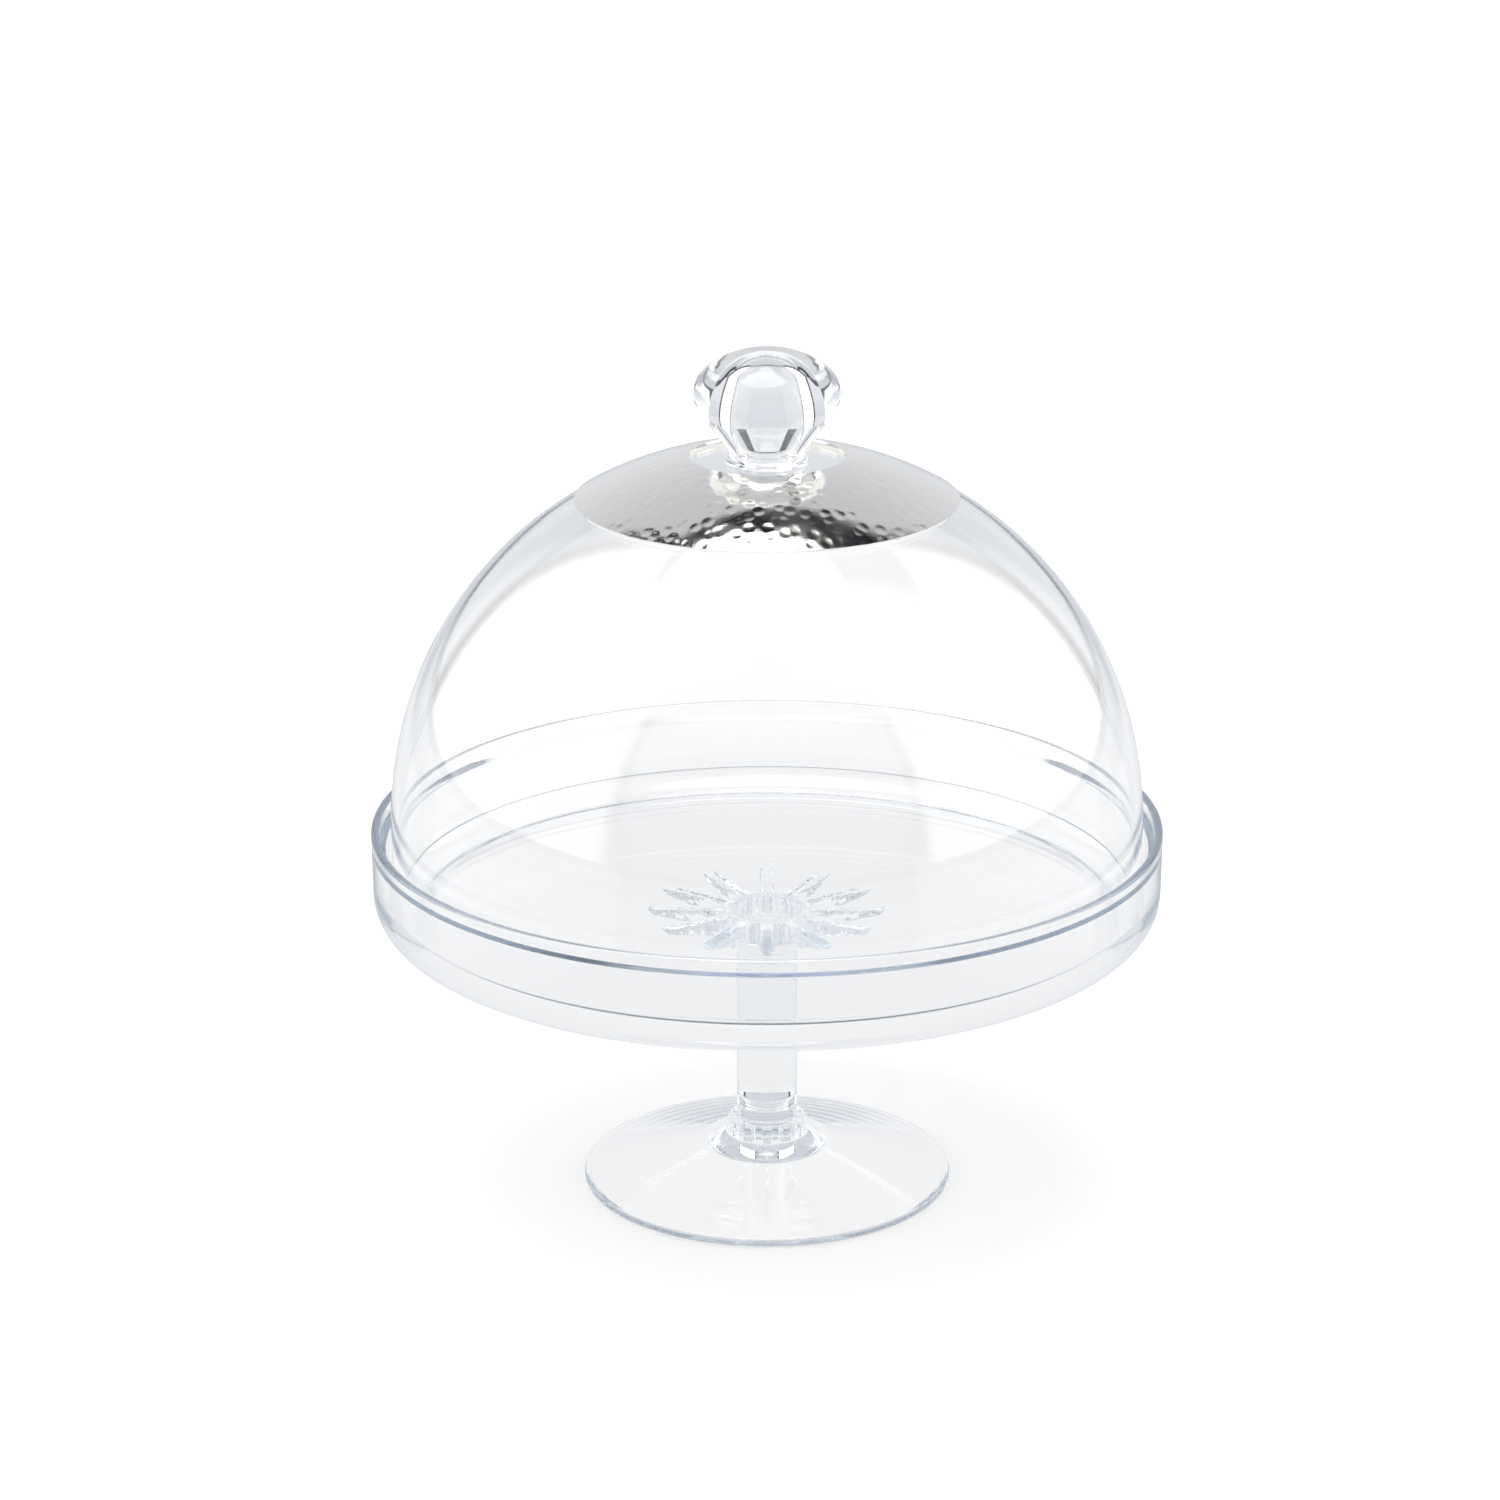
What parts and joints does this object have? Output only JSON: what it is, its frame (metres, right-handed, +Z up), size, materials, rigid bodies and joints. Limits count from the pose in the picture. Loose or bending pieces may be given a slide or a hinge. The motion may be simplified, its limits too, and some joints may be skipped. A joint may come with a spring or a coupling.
{
  "type": "footed cake stand with dome",
  "caption": "Clear footed cake stand: a flat dish with an upright wall on a rod stem, a lift-off dome with a knob, and a hammered metal ring round the knob.",
  "frame": {"origin": "centre of the foot's underside, on the surface the stand rests on", "axes": "+Z up along the stem; the object is turned about Z, so +X and +Y are equivalent directions"},
  "size_m": [0.305, 0.305, 0.3343],
  "materials": {
    "clear_foot": "clear, polished",
    "clear_coupling": "clear, moulded",
    "clear_stem": "clear, polished",
    "clear_plate": "clear, polished",
    "clear_dome": "clear, polished",
    "clear_knob": "clear, polished",
    "hammered_metal": "hammered, polished"
  },
  "bodies": {
    "stand": {"foot": "clear_foot", "lower_coupling": "clear_coupling", "stem": "clear_stem", "upper_coupling": "clear_coupling", "plate": "clear_plate"},
    "cover": {"dome": "clear_dome", "knob": "clear_knob"},
    "ring": {"cap_ring": "hammered_metal"}
  },
  "joints": [
    {"name": "dome_lift", "type": "slide", "parent": "stand", "child": "cover", "axis": [0, 0, 1], "range_m": [0, 0.25]},
    {"name": "cap_ring_lift", "type": "slide", "parent": "cover", "child": "ring", "axis": [0, 0, 1], "range_m": [0, 0.08]}
  ]
}
